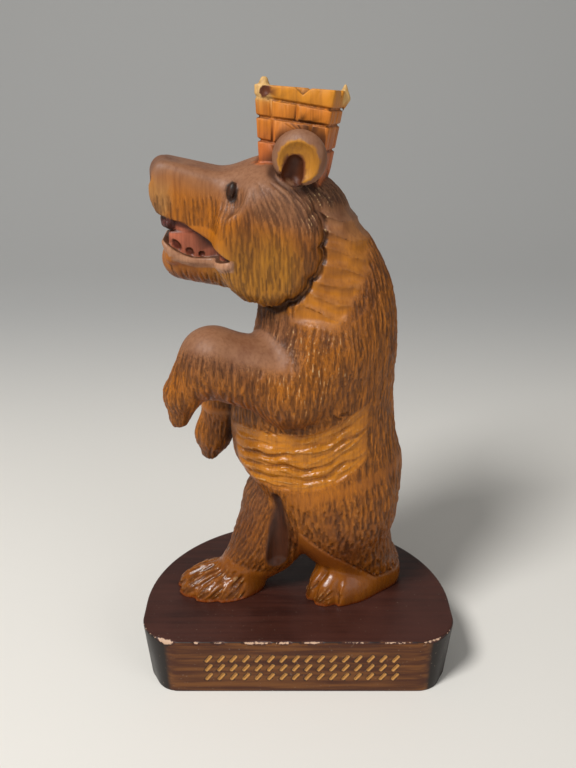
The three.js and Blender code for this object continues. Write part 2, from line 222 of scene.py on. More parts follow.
def fold_cover(points):
    """1 where the waist is folded, 0 elsewhere."""
    level = fold_level(points)
    band = smoothstep(level, 48.4, 50) * (1 - smoothstep(level, 63, 65))
    side = smoothstep(np.abs(points[:, 1]), 3, 8)
    return band * side * (1 - smoothstep(points[:, 0], 13, 19))


def folded_skin(points):
    """The folded part of the waist's own surface, which leaves out the arms that cross it."""
    arms = np.minimum(near_arm_field(points), far_arm_field(points))
    return fold_cover(points) * smoothstep(arms, 0.2, 0.8)


def waist_folds(points):
    x = points[:, 0]
    level = fold_level(points) + 0.5 * np.sin(x * 0.42) + 0.3 * np.sin(x * 0.9 + 1.3)
    turn = (level - FOLD_TOP) / FOLD_GAP
    wave = 1 - 2 * np.abs(np.sin(pi * turn)) ** 0.8
    swell = 0.75 + 0.35 * np.sin(turn * 2.2 + x * 0.25)
    under_arm = 0.9 * bump(level, FOLD_TOP + 1.6, 2.2)
    return FOLD_DEPTH / 2 * ((wave + 0.6) * swell + under_arm) * fold_cover(points)


def neck_scoops(points):
    """Level hollows cut across the nape, with a crisp edge between each and the next."""
    x, _, z = points.T
    place = np.mod((z + 0.3 * x + 0.5 * np.sin(x * 0.5 + z * 0.3)) / SCOOP_HEIGHT, 1)
    return SCOOP_DEPTH * (1 - (2 * place - 1) ** 2) * facet_cover(points)


def mirrored(points):
    """The points brought over to the right side, where y is more than 0."""
    return np.column_stack([points[:, 0], np.abs(points[:, 1]), points[:, 2]])


def ruff_field(points):
    """The cheeks, which end behind and below in tufts."""
    x, _, z = points.T
    cheeks = oval(points, (-7, 0, 109.7), (12.6, 14, 14.6), 5)
    dx = (x + 7) / 12.6
    dz = (z - 109.7) / 14.6
    rim = smoothstep(np.hypot(dx, dz), 0.72, 0.95)
    angle = np.arctan2(dz, dx)
    behind = smoothstep(angle, -2.1, -1.7) * (1 - smoothstep(angle, 0.5, 0.8))
    between = (1 - np.abs(np.sin(TUFT_TURN * angle))) ** 2
    return cheeks + TUFT_DEPTH * between * rim * behind


def head_field(points):
    x, y, z = points.T
    skull = ellipsoid(points, (-5.8, 0, 118.6), (12.4, 11.4, 9.8))
    snout = round_box(points, (-22.4, 0, 117.6), (13, 7, 8.3), 3.6, (0, 12, 0))
    muzzle = cut(snout, x + 34.1 - 0.045 * (z - 121.5) ** 2, 1.2)
    muzzle = cut(muzzle, 7.4 - 0.13 * (-20 - x) - np.abs(y), 1.6)
    muzzle = join(muzzle, ellipsoid(points, (-31.4, 0, 125), (2.7, 4, 3.2), (0, 12, 0)), 0.8)
    d = join(join(ruff_field(points), skull, 4), muzzle, 4)
    d = join(d, limb(points, (-12, 0, 103), 6.6, (-27, 0, 104.4), 5.3), 2.5)
    flesh = round_box(points, (-22, 0, 108.6), (9.2, 6.4, 4.6), 2)
    d = with_mouth(join(d, flesh, 0.6), points)
    d = join(d, ellipsoid(points, (-29.8, 0, 113.9), (2.5, 6.2, 2.3), (0, 20, 0)), 0.5)
    brow = limb(mirrored(points), (-13.8, 5, 124.6), 0.6, (-9.8, 11.5, 121.2), 0.8)
    d = join(d, brow, 1.2)
    return eyes_and_nostrils(d, points)


LIP_DEPTH = 1.25                  # how far the mouth's flesh lies behind the lips
LIP_SWELL = 0.45
TOOTH_GAP_DEPTH = 0.4
TOOTH_GAPS = ((-28.2, 1.2), (-25.2, 1), (-22.5, 0.75))


def lip_heights(points):
    """How high each point is above the lower lip's edge, and how far below the upper lip's."""
    x, _, z = points.T
    lower = 105.8 + np.where(x < -23, 0.062, 0.02) * (x + 23) ** 2
    upper = 113.9 - 0.63 * np.maximum(x + 26.4, 0) + 0.3 * np.maximum(-26.4 - x, 0)
    return z - lower, upper - z


def tooth_gaps(points):
    """1 in the middle of each gap between the teeth, down to 0 at its edge."""
    above, _ = lip_heights(points)
    gaps = np.zeros(len(points))
    for place, half in TOOTH_GAPS:
        away = np.hypot(points[:, 0] - place, above - half) / half
        gaps = np.maximum(gaps, 1 - smoothstep(away, 0.6, 1.1))
    return gaps


def with_mouth(d, points):
    """The head with its mouth cut open, a wedge that ends at the cheek."""
    above, below = lip_heights(points)
    opening = 0.85 * np.maximum(-above, -below)
    flesh = d + LIP_DEPTH + TOOTH_GAP_DEPTH * tooth_gaps(points)
    lips = cut(d, opening, 0.3)
    lips -= LIP_SWELL * bump(above, -1.1, 1.5) * (1 - smoothstep(points[:, 0], -16, -14))
    return join(lips, flesh, 0.2)


def eyes_and_nostrils(d, points):
    side = mirrored(points)
    d = cut(d, ellipsoid(side, (-16.2, 12, 121.4), (3.8, 2.6, 4.4)), 1.6)
    d = cut(d, ellipsoid(side, (-15.1, 10.6, 121.8), (1.3, 1.9, 2.5), (0, 12, 0)), 0.2)
    d = cut(d, ellipsoid(side, (-17, 10, 120.9), (1.9, 1.2, 0.55), (0, -40, 0)), 0.3)
    d = join(d, ellipsoid(side, (-15, 8.7, 121.7), (1.05, 1.3, 2.1), (0, 12, 0)), 0.1)
    return cut(d, ellipsoid(side, (-33.0, 3.4, 123.6), (1.7, 1.4, 1.2)), 0.5)


EAR_CENTRE = (-0.1, 10.7, 129.3)
EAR_RADII = (6.1, 3.5, 6.1)


def ear_hollows(side):
    """The ear's bowl, and the deeper arch in it."""
    bowl = ellipsoid(side, (-0.7, 14.9, 128.5), (5.2, 3.3, 5.2), (0, 0, 14))
    arch = limb(side, (-1.2, 12, 128.2), 1.9, (-1.8, 11.6, 125.4), 2.4)
    return bowl, arch


def ears_field(points):
    side = mirrored(points)
    shell = ellipsoid(side, EAR_CENTRE, EAR_RADII, (0, 0, 14))
    bowl, arch = ear_hollows(side)
    return cut(cut(shell, bowl, 0.3), arch, 0.3)


def near_arm_field(points):
    shoulder = limb(points, (7, -7.4, 84), 10, (-1, -9, 73.5), 9.4)
    forearm = limb(points, (-1, -8.6, 76), 9.6, (-19.2, -9, 80.8), 8.4)
    wrist = limb(points, (-21, -9, 82.6), 7.2, (-27.8, -9, 73.2), 4.9)
    claws = limb(points, (-27.8, -9, 73.2), 4.4, (-28.9, -9, 66.9), 2.7)
    return join(join(join(shoulder, forearm, 3), wrist, 2.5), claws, 1.2)


def far_arm_field(points):
    shoulder = limb(points, (7, 7.4, 84), 10, (-1, 9.4, 69), 9)
    forearm = limb(points, (-1, 9.4, 69), 8.8, (-18, 10, 63.6), 7.2)
    paw = limb(points, (-19.6, 10, 60.6), 5.2, (-22.2, 10, 54), 5.3)
    claws = limb(points, (-22.6, 10, 52.4), 4.4, (-23.4, 10, 48.4), 2.6)
    return join(join(join(shoulder, forearm, 3), paw, 2.5), claws, 1)


def toe_grooves(points, ankle, heading, spread, count, near, far):
    """Grooves between the toes, fanned from a point at the ankle."""
    dx = points[:, 0] - ankle[0]
    dy = points[:, 1] - ankle[1]
    reach = np.hypot(dx, dy)
    bearing = np.mod(np.arctan2(dy, dx) - heading + pi, 2 * pi) - pi
    groove = np.abs(np.cos(pi * bearing / spread * count)) ** 6
    in_fan = 1 - smoothstep(np.abs(bearing), spread * 0.5, spread * 0.62)
    return 0.9 * groove * smoothstep(reach, near, far) * in_fan


def front_leg_field(points):
    thigh = limb(points, (-2.4, 2.4, 37.4), 12.4, (-8, -0.5, 27.5), 8.8)
    shin = limb(points, (-8, -0.5, 27.5), 8.4, (-13.6, -2.6, 21.4), 6.6)
    foot = ellipsoid(points, (-20.6, -3.4, 15.2), (11.6, 8.8, 6.2), (0, 0, 8))
    foot += toe_grooves(points, (-10, -2.4), radians(188), radians(80), 5, 11, 16)
    return join(join(thigh, shin, 3), foot, 3)


def cuff_height(x):
    """Height of the edge where the rear leg's fur hangs over the foot."""
    return np.maximum(20.8, 30.5 - 0.8 * (x - 8))


def rear_leg_field(points):
    near_haunch = ellipsoid(points, (10.4, -3.4, 40), (15, 12.4, 14.6), (0, 6, 0))
    far_haunch = ellipsoid(points, (5, 5.5, 41), (15, 10.4, 13.4))
    shank = limb(points, (14, -2, 31), 9, (17.6, -0.6, 21.5), 8.1)
    shank -= 0.8 * smoothstep(points[:, 2] - cuff_height(points[:, 0]), -0.2, 0.6)
    heel = ellipsoid(points, (19.4, 0.6, 17.6), (8.4, 7.6, 8.4))
    foot = ellipsoid(points, (13, -4.6, 16), (12.2, 7.8, 8), (0, 0, 34))
    foot += toe_grooves(points, (20, -0.6), radians(214), radians(80), 5, 12, 16)
    haunches = join(near_haunch, far_haunch, 4)
    return join(haunches, join(join(shank, heel, 2.5), foot, 2), 1.4)


def valley_field(points):
    """The smooth hollow between the front leg and the haunch, on the near side."""
    return limb(points, (-6, -10.9, 45), 1.4, (-4.8, -11.4, 27), 3.5)


# Crown

WALL_BASE = (-0.9, 0.6, 124.4)    # foot of the crown, inside the skull
WALL_TURN = (-6, 3.2, -12)        # tilt away, tilt back and turn, in degrees
WALL_HALF_FOOT = (7, 6.8)
WALL_HALF_RIM = (9, 8.6)
WALL_HEIGHT = 18.4
WALL_SUNK = 3
COURSE_TOPS = (6.3, 11.6, 15.4)
COURSE_SLOPES = (-0.1, -0.055, -0.09)
COURSE_JOINTS = ((0.3,), (-0.54, 0.5), (-0.58, 0.09))
MORTAR = 0.6
RIM_HOLLOW = 2.4
RIM_WALL = 2
NOTCH_WIDTH = 3.6
NOTCH_DEPTH = 1.5
NOTCH_MIDDLE = 1.9
TURRET_HEIGHT = 1.7
CORNER_POSTS = ((-7.1, -7.0, 1.9), (8.7, 7.2, 1.4))


def crown_field(points):
    local = placed(points, WALL_BASE, WALL_TURN)
    u, v, w = local.T
    t = w / WALL_HEIGHT
    half_u = WALL_HALF_FOOT[0] + (WALL_HALF_RIM[0] - WALL_HALF_FOOT[0]) * t
    half_v = WALL_HALF_FOOT[1] + (WALL_HALF_RIM[1] - WALL_HALF_FOOT[1]) * t
    out_u = np.abs(u) - half_u
    out_v = np.abs(v) - half_v
    wall = -join(-out_u, -out_v, 0.6)
    groove = np.zeros_like(w)
    bottom = -WALL_SUNK
    for top, slope, joints in zip(COURSE_TOPS, COURSE_SLOPES, COURSE_JOINTS):
        top = top + slope * u
        groove = np.maximum(groove, bump(w, top - MORTAR / 2, 0.55))
        course = smoothstep(w - bottom, -0.1, 0.1) * (1 - smoothstep(w - top, -0.5, -0.3))
        for joint in joints:
            across = np.where(out_v > out_u, u / half_u * np.sign(-v), v / half_v * np.sign(u))
            upright = bump(across, joint, 0.065) * course
            groove = np.maximum(groove, 0.8 * upright)
        bottom = top
    d = wall + MORTAR * groove
    d = -join(-d, WALL_HEIGHT - w, 0.3)
    d = np.maximum(d, -WALL_SUNK - w)
    for post_u, post_v, radius in CORNER_POSTS:
        radius = radius - 0.42 * np.maximum(w - 17, 0) - 0.6 * np.maximum(16.4 - w, 0)
        post = np.hypot(u - post_u, v - post_v) - radius
        d = join(d, cut(post, WALL_HEIGHT + TURRET_HEIGHT - w, 0.4), 0.4)
    d = cut(d, ellipsoid(local, (-6.4, -9.4, 17.2), (1.2, 1.3, 1.4)), 0.2)
    inner_u = np.abs(u) - (WALL_HALF_RIM[0] - RIM_WALL)
    inner_v = np.abs(v) - (WALL_HALF_RIM[1] - RIM_WALL)
    hollow = np.maximum(np.maximum(inner_u, inner_v), WALL_HEIGHT - RIM_HOLLOW - w)
    d = cut(d, hollow, 0.4)
    for across in (u - NOTCH_MIDDLE, v - NOTCH_MIDDLE):
        notch = (np.abs(across) - NOTCH_WIDTH / 2 + (WALL_HEIGHT - w) * 1.2) / 1.6
        d = cut(d, np.maximum(notch, WALL_HEIGHT - NOTCH_DEPTH - w), 0.3)
    return d


def bear_field(points):
    z = points[:, 2]
    d = trunk_field(points)
    d = join_within(d, points, rear_leg_field, 3.5, 0, 62)
    d = join_within(d, points, front_leg_field, 1.6, 0, 62)
    waist = (z > 46) & (z < 72)
    d[waist] += waist_folds(points[waist])
    above = z > 88
    head = head_field(points[above])
    undercut = RUFF_UNDERCUT * (1 - smoothstep(head, 0, 1.6)) * (1 - smoothstep(z[above], 116, 120))
    d[above] = join(d[above] + undercut + neck_scoops(points[above]), head, 0.3)
    valley = (z > 24) & (z < 52)
    d[valley] = cut(d[valley], valley_field(points[valley]), 1)
    soft = ARM_EDGE_SOFT + (SHOULDER_SOFT - ARM_EDGE_SOFT) * smoothstep(z, 68, 80)
    d = join_within(d, points, near_arm_field, soft, 40, 100)
    d = join_within(d, points, far_arm_field, soft, 40, 100)
    d = join_within(d, points, ears_field, 1.2, 120, 200)
    d = join_within(d, points, crown_field, 0.3, 119, 200)
    return np.maximum(d, SOLE - z)


# Surface of a field

BLOCK = 6                         # cells along each side of the blocks that a field is looked at in


def block_points(blocks, offsets, low, cell):
    return (low + (blocks[:, None, :] * BLOCK + offsets) * cell).reshape(-1, 3).astype(np.float32)


def sampled(field, low, high, cell):
    """The field on a grid. Blocks that the surface doesn't cross only get its sign."""
    blocks = np.ceil((high - low) / cell / BLOCK).astype(int)
    values = np.ones(tuple(blocks * BLOCK + 1), np.float32)
    every = np.stack(np.meshgrid(*[np.arange(n) for n in blocks], indexing="ij"), -1).reshape(-1, 3)
    centre = np.full((1, 3), BLOCK / 2)
    middle = field(block_points(every, centre, low, cell))
    reach = BLOCK * cell * 3 ** 0.5 / 2 * 1.6 + 1
    for block in every[middle < -reach]:
        values[tuple(slice(n * BLOCK, n * BLOCK + BLOCK + 1) for n in block)] = -1
    offsets = np.stack(np.meshgrid(*[np.arange(BLOCK + 1)] * 3, indexing="ij"), -1).reshape(-1, 3)
    near = every[np.abs(middle) <= reach]
    for part in np.array_split(near, max(len(near) // 800, 1)):
        places = (part[:, None, :] * BLOCK + offsets).reshape(-1, 3)
        values[tuple(places.T)] = field(block_points(part, offsets, low, cell))
    return values


def surface_net(field, low, high, cell):
    """Vertices and quads of the surface where the field is 0, one vertex in each cell it crosses."""
    low = np.array(low, float)
    values = sampled(field, low, np.array(high, float), cell)
    inside = values < 0
    size = np.array(values.shape) - 1
    corners = [np.array(corner) for corner in np.ndindex(2, 2, 2)]
    count = np.zeros(tuple(size), np.uint8)
    for corner in corners:
        count += inside[tuple(slice(c, c + n) for c, n in zip(corner, size))]
    cells = np.argwhere((count > 0) & (count < 8))
    number = np.full(tuple(size), -1, np.int64)
    number[tuple(cells.T)] = np.arange(len(cells))
    total = np.zeros((len(cells), 3))
    crossings = np.zeros(len(cells))
    for corner in corners:
        for axis in np.flatnonzero(corner == 0):
            step = np.eye(3, dtype=int)[axis]
            a = values[tuple((cells + corner).T)].astype(float)
            b = values[tuple((cells + corner + step).T)].astype(float)
            crossed = (a < 0) != (b < 0)
            t = np.where(crossed, a / np.where(crossed, a - b, 1), 0)
            total += np.where(crossed[:, None], corner + t[:, None] * step, 0)
            crossings += crossed
    vertices = low + (cells + total / crossings[:, None]) * cell
    quads = [quads_across(inside, number, size, axis) for axis in range(3)]
    return vertices.astype(np.float32), np.concatenate(quads)


def quads_across(inside, number, size, axis):
    """One quad round each grid edge along the axis whose ends are on either side of the surface."""
    first = [slice(1, n) for n in size]
    first[axis] = slice(0, size[axis])
    second = list(first)
    second[axis] = slice(1, size[axis] + 1)
    a = inside[tuple(first)]
    edges = np.argwhere(a != inside[tuple(second)])
    leaving = a[tuple(edges.T)]
    edges += 1
    edges[:, axis] -= 1
    du = np.eye(3, dtype=int)[(axis + 1) % 3]
    dv = np.eye(3, dtype=int)[(axis + 2) % 3]
    round_edge = [edges - du - dv, edges - dv, edges, edges - du]
    quads = np.stack([number[tuple(cell.T)] for cell in round_edge], 1)
    quads[~leaving] = quads[~leaving][:, ::-1]
    return quads


def slopes_of(field, points, step=0.06):
    """The direction in which the field grows fastest, of length 1."""
    total = np.zeros_like(points)
    for corner in ((1, -1, -1), (-1, -1, 1), (-1, 1, -1), (1, 1, 1)):
        offset = np.array(corner, np.float32)
        total += offset * field(points + offset * step)[:, None]
    return total / np.maximum(length(total), 1e-9)[:, None]


def settled(field, points, most):
    """The points moved onto the surface, by at most a given distance, and its normals there."""
    normals = slopes_of(field, points)
    points = points - normals * np.clip(field(points), -most, most)[:, None]
    return points, slopes_of(field, points)


# Gouge strokes

def spaced(points, gap, generator):
    """Numbers of points in random order, no two nearer than the gap."""
    tree = tree_of(points)
    taken = np.zeros(len(points), bool)
    kept = []
    for i in generator.permutation(len(points)):
        if taken[i]:
            continue
        kept.append(i)
        for _, other, _ in tree.find_range(points[i], gap):
            taken[other] = True
    return np.array(kept)


def tree_of(points):
    tree = KDTree(len(points))
    for i, point in enumerate(points.tolist()):
        tree.insert(point, i)
    tree.balance()
    return tree


def stroke_stamps(field, starts, heading, kind, generator):
    """Places, half widths and depths along each stroke, which follows the surface."""
    count = len(starts)
    lengths = generator.uniform(*kind["length"], count)
    half_widths = kind["half_width"] * generator.uniform(0.8, 1.2, count)
    depths = kind["depth"] * generator.uniform(0.55, 1.1, count)
    swerve = np.tan(np.radians(generator.normal(0, kind["swerve"], count)))
    step = kind["half_width"] * 0.5
    point = starts.copy()
    stamps = []
    for i in range(int(kind["length"][1] / step) + 1):
        normal = slopes_of(field, point)
        point = point - normal * field(point)[:, None]
        t = i * step / lengths
        here = t < 1
        taper = np.minimum(np.minimum(t / 0.22, (1 - t) / 0.35), 1)[here]
        stamps.append(np.column_stack([point[here], half_widths[here] * (0.45 + 0.55 * taper),
                                       depths[here] * taper]))
        along = heading(point)
        along -= normal * np.einsum("ij,ij->i", along, normal)[:, None]
        along /= np.maximum(length(along), 1e-6)[:, None]
        sideways = np.cross(normal, along)
        way = along + sideways * swerve[:, None]
        point = (point + way / length(way)[:, None] * step).astype(np.float32)
    return np.concatenate(stamps)


def cut_depths(vertices, tree, stamps):
    depths = [0.0] * len(vertices)
    for x, y, z, half_width, depth in stamps.tolist():
        if depth <= 0:
            continue
        for _, i, distance in tree.find_range((x, y, z), half_width):
            here = depth * (1 - (distance / half_width) ** 2)
            if here > depths[i]:
                depths[i] = here
    return np.array(depths, np.float32)


# Where each kind of stroke is cut, and which way it runs

FUR = {"length": (3, 8), "half_width": 0.55, "depth": 0.38, "swerve": 5, "gap": 1.15}
CHEEK = {"length": (4, 9), "half_width": 0.42, "depth": 0.28, "swerve": 3, "gap": 0.95}
SHINGLE = {"length": (2.4, 4.4), "half_width": 0.68, "depth": 0.58, "swerve": 7, "gap": 1.2}
FOLD = {"length": (6, 15), "half_width": 0.85, "depth": 0.55, "swerve": 3, "gap": 1.7}
FOOT = {"length": (4, 9), "half_width": 0.62, "depth": 0.5, "swerve": 5, "gap": 1.25}
SLASH = {"length": (1.6, 3.6), "half_width": 0.7, "depth": 0.6, "swerve": 8, "gap": 1.5}
FACET = {"length": (5, 9), "half_width": 2.1, "depth": 0.5, "swerve": 8, "gap": 3.0}


def fur_heading(points):
    """Down the body, back over the cheeks and down over the paws."""
    x, _, z = points.T
    heading = np.zeros_like(points)
    heading[:, 2] = -1
    face = smoothstep(z, 96, 100) * (1 - smoothstep(x, 6, 9))
    heading[:, 0] += face * (0.05 + 0.55 * smoothstep(z, 110, 122) * smoothstep(x, -16, -4))
    leg = (1 - smoothstep(z, 42, 48)) * (1 - smoothstep(x, -6, -3))
    heading[:, 0] -= leg * (0.35 + 0.4 * (1 - smoothstep(z, 24, 34)))
    return heading


def fold_heading(points):
    """Along the folds of the waist, towards the back."""
    heading = np.zeros_like(points)
    heading[:, 0] = 1
    heading[:, 2] = 2 * FOLD_RISE * np.maximum(points[:, 0] - FOLD_TURN, 0)
    return heading


def foot_heading(points):
    """Down over the instep to the toes, fanned from each foot's ankle."""
    x, y, _ = points.T
    heading = np.zeros_like(points)
    heading[:, 0] = x - np.where(x > 0, 20, -8)
    heading[:, 1] = y - np.where(x > 0, 2, -1)
    heading[:, 2] = -8
    return heading


def slash_heading(points):
    heading = np.zeros_like(points)
    heading[:, 0] = 1
    heading[:, 2] = -0.8
    return heading


def level_heading(points):
    heading = np.zeros_like(points)
    heading[:, 0] = 1
    heading[:, 2] = -0.15
    return heading


def facet_cover(points):
    """The nape, and the neck below the ruff, are cut in broad flats."""
    x, _, z = points.T
    edge = 5.5 - 0.55 * np.maximum(104 - z, 0)
    nape = smoothstep(x, edge - 2, edge) * (1 - smoothstep(x, edge + 9, edge + 12))
    return nape * smoothstep(z, 90, 94) * (1 - smoothstep(z, 116, 120))


def smooth_cover(points, normals):
    """Where the wood is left smooth."""
    x, y, z = points.T
    snout = smoothstep(z - 0.3 * np.abs(y), 118, 120.5) * (1 - smoothstep(x, -12, -8))
    top = smoothstep(z, 123.5, 125.5)
    mouth = within(points, (-24, 0, 108.4), (10, 30, 5.2), 0.15)
    front_foot = (1 - smoothstep(z - 0.25 * np.abs(x + 5), 20, 23)) * (x < 0)
    rear_foot = (1 - smoothstep(z - cuff_height(x), -0.6, 0.2)) * (x > 0)
    valley = 1 - smoothstep(valley_field(points), 0.2, 0.8)
    groove = bump(fold_level(points), 62.6, 2.2) * (1 - smoothstep(x, 8, 12)) * (np.abs(y) < 15)
    arm_top = smoothstep(normals[:, 2], 0.35, 0.65) * (z > 74) * (z < 96) * (x < -1)
    belly = 0.7 * bump(z - 0.25 * x, 46.5, 3.5) * (x > -3)
    return np.clip(snout + top + mouth + front_foot + rear_foot + valley + groove + arm_top + belly, 0, 1)


def foot_cover(points):
    x, y, z = points.T
    front = (1 - smoothstep(x, -15, -12)) * (1 - smoothstep(z, 21, 24))
    rear = (x > 0) * (1 - smoothstep(np.hypot(x - 6, y + 10), 5, 8)) * (1 - smoothstep(z, 19, 22))
    return np.maximum(front, rear) * smoothstep(z, 15.2, 16)


def slash_cover(points):
    """Along the lower edge of the near arm."""
    x, y, z = points.T
    edge = 64.9 + 0.3 * np.maximum(x + 4, 0)
    return bump(z - edge, 0, 2) * (x > -13) * (x < 13) * (y < 0)


def stroke_covers(points, normals):
    """Each kind of stroke with its heading and where it is cut."""
    x, _, z = points.T
    bare = 1 - smooth_cover(points, normals)
    facet = facet_cover(points)
    fold = folded_skin(points)
    haired = bare * (1 - facet) * (1 - smoothstep(fold, 0.1, 0.5))
    shingle = smoothstep(x, -3.5, -1.5) * (1 - smoothstep(z, 43, 47))
    cheek = smoothstep(z, 95, 98) * (1 - smoothstep(x, 4, 7))
    return (
        (FACET, level_heading, 0.6 * facet),
        (FOLD, fold_heading, fold),
        (SLASH, slash_heading, slash_cover(points)),
        (FOOT, foot_heading, foot_cover(points)),
        (SHINGLE, fur_heading, haired * shingle),
        (CHEEK, fur_heading, haired * cheek),
        (FUR, fur_heading, haired * (1 - 0.6 * shingle) * (1 - 0.7 * cheek)),
    )


# Meshes

def mesh_of(name, vertices, faces):
    mesh = bpy.data.meshes.new(name)
    mesh.vertices.add(len(vertices))
    mesh.vertices.foreach_set("co", (vertices * MM).astype(np.float32).ravel())
    sides = faces.shape[1]
    mesh.loops.add(faces.size)
    mesh.loops.foreach_set("vertex_index", faces.astype(np.int32).ravel())
    mesh.polygons.add(len(faces))
    mesh.polygons.foreach_set("loop_start", np.arange(0, faces.size, sides, dtype=np.int32))
    mesh.update(calc_edges=True)
    mesh.validate()
    return mesh


def piece_of(name, vertices, faces, triangles):
    """An object with the mesh brought down to a number of triangles."""
    piece = bpy.data.objects.new(name, mesh_of(name, vertices, faces))
    bpy.context.collection.objects.link(piece)
    modifier = piece.modifiers.new("fewer", "DECIMATE")
    modifier.ratio = triangles / (len(faces) * 2)
    modifier.use_collapse_triangulate = True
    bpy.context.view_layer.objects.active = piece
    with bpy.context.temp_override(object=piece, active_object=piece):
        bpy.ops.object.modifier_apply(modifier="fewer")
    piece.data.shade_smooth()
    return piece


def vertices_of(mesh):
    flat = np.empty(len(mesh.vertices) * 3, np.float32)
    mesh.vertices.foreach_get("co", flat)
    return flat.reshape(-1, 3) / MM


def bulge_of(vertices, quads, normals):
    """How far each vertex stands above the middle of its neighbours."""
    total = np.zeros_like(vertices)
    count = np.zeros(len(vertices), np.float32)
    for side in range(4):
        a = quads[:, side]
        b = quads[:, (side + 1) % 4]
        for axis in range(3):
            total[:, axis] += np.bincount(a, vertices[b, axis], len(vertices))
            total[:, axis] += np.bincount(b, vertices[a, axis], len(vertices))
        count += np.bincount(a, minlength=len(vertices)) + np.bincount(b, minlength=len(vertices))
    middle = total / count[:, None]
    return np.einsum("ij,ij->i", vertices - middle, normals)


def add_attribute(mesh, name, values):
    layer = mesh.attributes.new(name, "FLOAT", "POINT")
    layer.data.foreach_set("value", np.asarray(values, np.float32))


def add_colour(mesh, name, colours):
    layer = mesh.attributes.new(name, "FLOAT_COLOR", "POINT")
    full = np.column_stack([colours, np.ones(len(colours))]).astype(np.float32)
    layer.data.foreach_set("color", full.ravel())


# Stain

def linear(code):
    """A colour written as on a screen, such as a1b2c3, as light."""
    values = np.array([int(code[i:i + 2], 16) for i in (0, 2, 4)]) / 255
    return np.where(values < 0.04045, values / 12.92, ((values + 0.055) / 1.055) ** 2.4)


HONEY = linear("ac6412")
GOLD = linear("c07a1c")
DEEP = linear("7c420c")
UMBER = linear("5c2c10")
OCHRE = linear("a8701a")
GREY = linear("8a6248")
# Painted shade: a dark red for the undersides and along the soles.
SHADE_RED = linear("7a2408")
SALMON = linear("c06a4c")
LIP = linear("b08060")
GUM = linear("6a200c")
PLUM = linear("5a2c2c")
PAD = linear("80604c")
TAN = linear("ae7c44")
RING = linear("b0741c")
INK = linear("0a0c06")
BRICK = linear("c8741c")
BRICK_TOP = linear("cc821c")
BRICK_RED = linear("c0602c")
POST = linear("d2a868")
# Dark stain in the fine lines and gouges, also used as painted shade in crevices and in the hollow by the
# front leg.
DARK_STAIN_AND_SHADE = linear("301404")
# Pale bare wood on worn ridges, also used as a painted highlight.
PALE_WOOD_AND_GLINT = linear("d6b07c")


def mixed(colours, colour, amount):
    amount = np.clip(np.asarray(amount, float), 0, 1)[:, None]
    return colours * (1 - amount) + colour * amount


def within(points, centre, radii, soft=0.35):
    """1 inside an ellipsoid, fading to 0 just outside it."""
    away = length((points - np.array(centre, np.float32)) / np.array(radii, np.float32))
    return 1 - smoothstep(away, 1 - soft, 1 + soft)


def stain_of(points, normals):
    x, y, z = points.T
    side = mirrored(points)
    up = normals[:, 2]
    colours = np.tile(HONEY, (len(points), 1))
    colours = mixed(colours, GOLD, 0.6 * folded_skin(points))
    colours = mixed(colours, GOLD, 0.5 * facet_cover(points))
    colours = mixed(colours, DEEP, 0.75 * (1 - smoothstep(z, 32, 50)))
    # Dulled stain, together with a painted sheen of the light from above on faces that turn up.
    colours = mixed(colours, GREY, dull_and_sheen(points, normals))
    # Painted shade: faces that turn downwards go a darker red.
    colours = mixed(colours, SHADE_RED, 0.5 * smoothstep(-up, 0.2, 0.9))
    cheek = within(points, (-9, 0, 104), (12, 30, 10))
    colours = mixed(colours, OCHRE, 0.8 * cheek * (z > 92))
    nose = within(points, (-33, 0, 119), (4, 30, 4.5))
    colours = mixed(colours, TAN, 0.8 * nose)
    pad = within(points, (-31.4, 0, 125.5), (4.4, 6, 3.4), 0.2)
    colours = mixed(colours, PAD, 0.8 * pad)
    colours = mouth_stain(colours, points)
    lump = ellipsoid(points, (-29.8, 0, 113.9), (2.5, 6.2, 2.3), (0, 20, 0))
    colours = mixed(colours, PLUM, (lump < 0.25) & (z < 116))
    bowl, arch = ear_hollows(side)
    ear = (ears_field(points) < 0.4) & (z > 122)
    colours = mixed(colours, GREY, ear)
    colours = mixed(colours, RING, ear & (bowl < 0.35))
    colours = mixed(colours, UMBER, ear & (arch < 0.35))
    eye = within(side, (-15.1, 10, 121.7), (1.5, 4, 2.5), 0.1)
    colours = mixed(colours, INK, eye)
    # Painted shade in the hollow between the front leg and the haunch.
    colours = mixed(colours, DARK_STAIN_AND_SHADE, 1 - smoothstep(valley_field(points), 0.2, 0.9))
    # Painted shade: a darker red where the feet meet the plinth.
    colours = mixed(colours, SHADE_RED, 0.7 * (1 - smoothstep(z, SOLE, SOLE + 1.2)))
    return brick_stain(colours, points)


def dull_and_sheen(points, normals):
    """Where the stain has dulled, with a painted sheen of the overhead light on faces that turn up: the top
    of the head, the nape, the arm's top and the thigh.
    """
    x, y, z = points.T
    up = normals[:, 2]
    head = smoothstep(z + 0.35 * x, 110, 117) * smoothstep(z, 108, 116)
    arm = smoothstep(z - 0.2 * np.abs(x + 14), 76, 84) * (1 - smoothstep(x, -4, 2)) * (z < 94)
    thigh = within(points, (-12, 0, 41), (6, 12, 6)) * smoothstep(up, 0, 0.6)
    shoulder = 0.3 * smoothstep(up, 0.2, 0.7) * smoothstep(z, 70, 80)
    return np.clip(0.75 * head + 0.6 * arm + 0.5 * thigh + shoulder, 0, 0.9)


def mouth_stain(colours, points):
    x, _, z = points.T
    above, below = lip_heights(points)
    near = (x < -14.6) & (z > 99) & (z < 118)
    flesh = near & (above > 0.15) & (below > 0.1)
    colours = mixed(colours, SALMON, flesh)
    colours = mixed(colours, GUM, flesh * (1 - smoothstep(below, 0.9, 1.8)))
    colours = mixed(colours, GUM, flesh * tooth_gaps(points))
    lip = near & (above <= 0.15) & (above > -2.4)
    return mixed(colours, LIP, lip)


